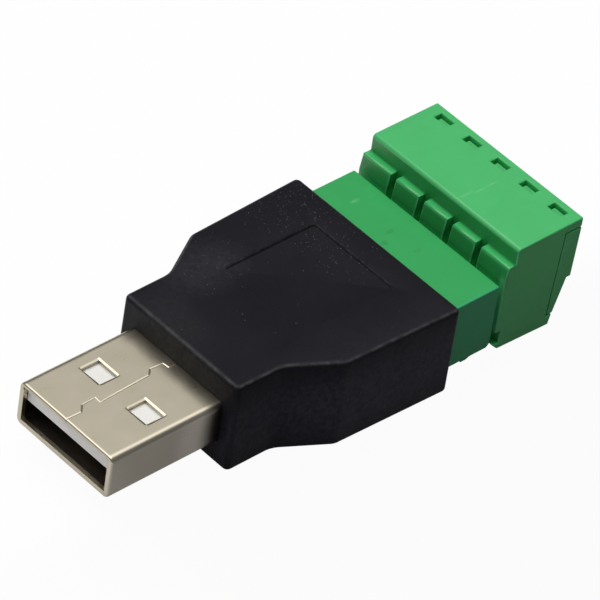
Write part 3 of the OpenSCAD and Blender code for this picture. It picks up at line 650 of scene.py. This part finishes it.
def makeShell(cfg):
    lo, hi = (np.array(v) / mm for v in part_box("usb_shell"))
    wide, high = hi[1] + shellProud["side"], (hi[2] - lo[2] + shellProud["under"]) / 2
    rim, dish = cfg["windowRim"]
    q, roll = quarter(cfg["mouthSteps"]), cfg["mouthRoll"]
    lipX = np.concatenate([[cfg["lipLong"], 0.0], roll - roll * np.cos(q), [roll + cfg["margin"]]])
    lipIn = np.concatenate([[cfg["lipTop"]] * 2, roll - roll * np.sin(q), [0.0]])

    # rows: place of the seam (x, y), then the row's x beside the seam on its +Y side and on its -Y side
    tabs = [[(*p, p[0] + plus, p[0] + minus) for p, (plus, minus) in zip(tab, cfg["tabLean"])]
            for tab in cfg["seamTabs"]]
    x0, x1 = cfg["windowX"]
    seamStart, seamEnd = cfg["seamY"]
    run = np.array([(0.0, seamStart), *cfg["seamTabs"][0], *cfg["seamTabs"][1], (cfg["length"], seamEnd)])
    plain = {"mouth": cfg["mouthAt"] + lipX, "window": [x0 - rim, x0, x1, x1 + rim],
             "end": [cfg["length"], cfg["length"] + cfg["tail"]]}
    straight = {"mouth": run[:2], "window": run[4:6], "end": run[8:]}
    plain = {key: [(x, np.interp(x, *straight[key].T), x, x) for x in xs] for key, xs in plain.items()}
    rows = np.array([*plain["mouth"], *tabs[0], *plain["window"], *tabs[1], *plain["end"]])
    step = np.diff(rows[2:, :2], axis=0)  # the first two rows lie inside the lip
    step /= np.linalg.norm(step, axis=1, keepdims=True)
    way = np.concatenate([step[:1], step[:1], step[:1], step[:-1] + step[1:], step[-1:]])
    way /= np.linalg.norm(way, axis=1, keepdims=True)
    off = np.stack([-way[:, 1], way[:, 0]], axis=1)

    # columns: the section, drawn in a little at the mouth, between the two lips of the seam
    ring, out = shellRing(cfg, wide, high)
    inset = np.zeros(len(rows))
    inset[:len(lipIn)] = lipIn
    body = np.empty((len(rows), len(ring), 3))
    along = np.linspace(0.0, 1.0, len(ring))
    body[..., 0] = rows[:, 2, None] * (1 - along) + rows[:, 3, None] * along
    body[..., 1:] = ring[None] - inset[:, None, None] * out[None]
    # the lip is thicker round the sides and the bottom than over the tongue
    thick = cfg["lipThick"] + (cfg["lipTop"] - cfg["lipThick"]) * np.maximum(out[:, 1], 0.0)
    body[:2, :, 1:] = ring - thick[:, None] * out
    lipWidth, lipDrop = cfg["seamLip"]
    level = high - inset

    def lipAt(share, drop):
        return np.append(rows[:, :2] + share[:, None] * off, (level - drop)[:, None], axis=1)[:, None]

    # the seam's +Y lip is drawn down a little and shows as a bright line; the first two rows have no seam
    apart = (np.arange(len(rows)) > 1).astype(float)
    half = cfg["seamGap"] / 2 * apart
    plusLip = [lipAt(half, lipDrop * apart), lipAt(half + lipWidth, 0.0)]
    sheet = np.concatenate([*plusLip, body, lipAt(-half, 0.0)], axis=1)

    # leave out the latch windows, and everything behind the end but the two solder tails
    middle = (sheet[:-1, :-1] + sheet[1:, :-1] + sheet[:-1, 1:] + sheet[1:, 1:]) / 4
    x, across, level = middle[..., 0], np.abs(middle[..., 1]), middle[..., 2]
    near, far = cfg["windowY"]
    window = (x > x0) & (x < x1) & (across > near) & (across < far) & (np.abs(level) > high - sliver)
    low, top = cfg["tailHeight"]
    tail = (across > wide - sliver) & (level > low) & (level < top)
    keep = ~window & ((x < cfg["length"]) | tail)

    # the windows' edges on their +X and +Y sides are drawn in by the punch
    y, z = sheet[..., 1], sheet[..., 2]
    atX0, atX1 = (np.abs(rows[:, 0] - v)[:, None] < tiny for v in (x0, x1))
    onEdge = np.minimum(np.abs(np.abs(y) - near), np.abs(np.abs(y) - far)) < tiny
    farEdge = (np.abs(y - far) < tiny) | (np.abs(y + near) < tiny)
    drawn = (np.abs(z) > high - sliver) & ((atX1 & onEdge) | (atX0 & farEdge))
    sheet[..., 2] -= dish * drawn * np.sign(z)
    sheet += (lo[0], 0.0, hi[2] - high)
    obj = pieceFromGrids("plugShell", [(sheet, False, keep)], "shellNickel", cfg["sharp"])
    wall = obj.modifiers.new("sheet", "SOLIDIFY")
    wall.thickness = cfg["sheet"] * mm
    wall.offset = -1.0
    wall.use_even_offset = True
    # the inner faces take the darker copy of the nickel, painted shade
    wall.material_offset = 1
    obj.data.materials.append(finishes["shellInsideShaded"])
    bevel = obj.modifiers.new("edgeRound", "BEVEL")
    bevel.width = cfg["edge"] * mm
    bevel.segments = cfg["edgeSteps"]
    bevel.limit_method = "ANGLE"
    bevel.angle_limit = math.radians(cfg["edgeAngle"])
    bevel.use_clamp_overlap = False
    bevel.harden_normals = True
    standFor(obj, "usb_shell", "adapter")


makeShell(shellLook)
print("plug shell: bent sheet with seam, windows and tails")


# terminal mouldings
mouldings = {
    "header": {"name": "headerSocket", "body": "adapter", "finish": "headerGreen", "round": 0.1},
    "plug_body": {"name": "terminalPlug", "body": "plug", "finish": "terminalGreen", "round": 0.12},
    "plug_rear_cover": {"name": "rearCover", "body": "plug", "finish": "terminalGreen", "round": 0.1},
}
mouldingLook = {
    "flatWithin": 0.5, "edgeFrom": 25, "alike": 1, "sharp": 40,  # degrees
    "broad": 0.3, "shortest": 0.3,  # mm, least breadth of a flat face and length of an edge that is rounded
    "room": 1.5, "strip": 0.8,  # in widths of the round
    "steps": 3,
}


def faceBreadth(face):
    return face.calc_area() / max(edge.calc_length() for edge in face.edges)


def makeMoulding(node, cfg, look):
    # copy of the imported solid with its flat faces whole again, and outward edges rounded where there is room
    width = cfg["round"] * mm
    edgeFrom = math.radians(look["edgeFrom"])
    form = bmesh.new()
    form.from_mesh(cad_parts[node].data)
    bmesh.ops.remove_doubles(form, verts=form.verts, dist=2e-7)
    within = math.radians(look["flatWithin"])
    bmesh.ops.dissolve_limit(form, angle_limit=within, verts=form.verts, edges=form.edges)
    broad = [face.normal.copy() for face in form.faces if faceBreadth(face) > look["broad"] * mm]
    chosen = form.edges.layers.int.new("rounded")
    for edge in form.edges:
        long = edge.calc_length()
        room = min(face.calc_area() / long for face in edge.link_faces)
        sharp = edge.is_convex and edge.calc_face_angle(0.0) > edgeFrom
        edge[chosen] = int(sharp and long > look["shortest"] * mm and room > look["room"] * width)
    bmesh.ops.connect_verts_concave(form, faces=form.faces)
    edges = [edge for edge in form.edges if edge[chosen] and edge.calc_face_angle(0.0) > edgeFrom]
    rounded = form.faces.layers.float.new("edgeRound")
    bmesh.ops.bevel(form, geom=edges, offset=width, offset_type="OFFSET", segments=look["steps"], profile=0.5,
                    affect="EDGES", clamp_overlap=False)
    # faces that lie like a broad one stay flat, the strips of rounds and holes shade smooth
    form.normal_update()
    normals = np.array([face.normal for face in form.faces])
    smooth = (normals @ np.array(broad).T).max(axis=1) < math.cos(math.radians(look["alike"]))
    for face, soft in zip(form.faces, smooth):
        # painted highlight: upright rounds show palest, those that face up don't
        strip = soft and faceBreadth(face) < look["strip"] * width
        face[rounded] = float(strip) * (1 - max(face.normal.z, 0.0)) ** 2
    mesh = bpy.data.meshes.new(cfg["name"])
    form.to_mesh(mesh)
    form.free()
    obj = linkPiece(cfg["name"], mesh, cfg["finish"], look["sharp"])
    mesh.polygons.foreach_set("use_smooth", smooth)
    standFor(obj, node, cfg["body"])


for node, cfg in mouldings.items():
    makeMoulding(node, cfg, mouldingLook)
print("terminal: header, plug and rear cover")


# terminal screws
screwLook = {
    "headRadius": 1.35, "headHeight": 1.2, "slot": 0.5, "slotDepth": 0.55, "rim": 0.12,
    "radius": 1.0, "pitch": 0.4, "threadDepth": 0.2, "tip": 0.6,
    "steps": 14, "slotSteps": 5, "acrossSteps": 9, "turnSteps": 8, "sharp": 35,
}


def makeScrew(way, cfg):
    lo, hi = (np.array(v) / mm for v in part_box(f"terminal_screw_{way}"))
    x, y = (lo[:2] + hi[:2]) / 2
    z0, z1, r = lo[2], hi[2], cfg["headRadius"]
    # lines across the head lie along its slot; they are doubled at the slot's walls to give it depth
    wall = math.asin(cfg["slot"] / 2 / r)
    side = np.linspace(-math.pi / 2, -wall, cfg["steps"])
    floor = np.linspace(-wall, wall, cfg["slotSteps"])
    turn = np.concatenate([side, floor, -side[::-1]])
    depth = np.concatenate([np.zeros(len(side)), np.full(len(floor), cfg["slotDepth"]), np.zeros(len(side))])
    along = np.linspace(-1.0, 1.0, cfg["acrossSteps"])
    inner = r - cfg["rim"]
    face = np.stack([inner * np.cos(turn)[:, None] * along,
                     np.repeat(inner * np.sin(turn)[:, None], len(along), axis=1),
                     np.repeat(z0 + depth[:, None], len(along), axis=1)], axis=2)
    # the rim of that face goes on as columns up the head, under it and round the thread
    angle = np.concatenate([turn, math.pi - turn[::-1]])
    start = z0 + np.concatenate([depth, depth[::-1]])
    lift = np.maximum(start, z0 + cfg["rim"])
    under = z0 + cfg["headHeight"]
    rise = np.arange(under, z1, cfg["pitch"] / cfg["turnSteps"])
    saw = (rise[:, None] / cfg["pitch"] - angle[None] / (2 * math.pi)) % 1.0
    thread = cfg["radius"] - cfg["threadDepth"] * np.abs(2 * saw - 1)
    ones = np.ones_like(angle)
    radii = np.concatenate([[inner * ones, r * ones, r * ones], thread, [cfg["tip"] * ones, 0.0 * ones]])
    heights = np.concatenate([[start, lift, under * ones], np.repeat(rise[:, None], len(angle), axis=1),
                              [z1 * ones, z1 * ones]])
    body = np.stack([radii * np.cos(angle), radii * np.sin(angle), heights], axis=2)
    place = np.array([x, y, 0.0])
    grids = [(face + place, False, None), (body + place, True, None)]
    obj = pieceFromGrids(f"clampScrew{way}", grids, "clampZinc", cfg["sharp"])
    standFor(obj, f"terminal_screw_{way}", f"screw_{way}")


for way in range(1, wayCount + 1):
    makeScrew(way, screwLook)
print("screws:", wayCount, "with slot and thread")


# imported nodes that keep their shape
nodeFinishes = {
    "circuit_board": "boardMask",
    "usb_contact_": "contactGold",
    "header_pin_": "pinTin",
    "plug_contact_": "forkBrass",
    "wire_cage_": "clampZinc",
    "usb_insulator": "insulatorWhite",
}
for start, finish in nodeFinishes.items():
    for name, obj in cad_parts.items():
        if name.startswith(start):
            obj.data.materials.clear()
            obj.data.materials.append(finishes[finish])
print("packed nodes: finishes set")
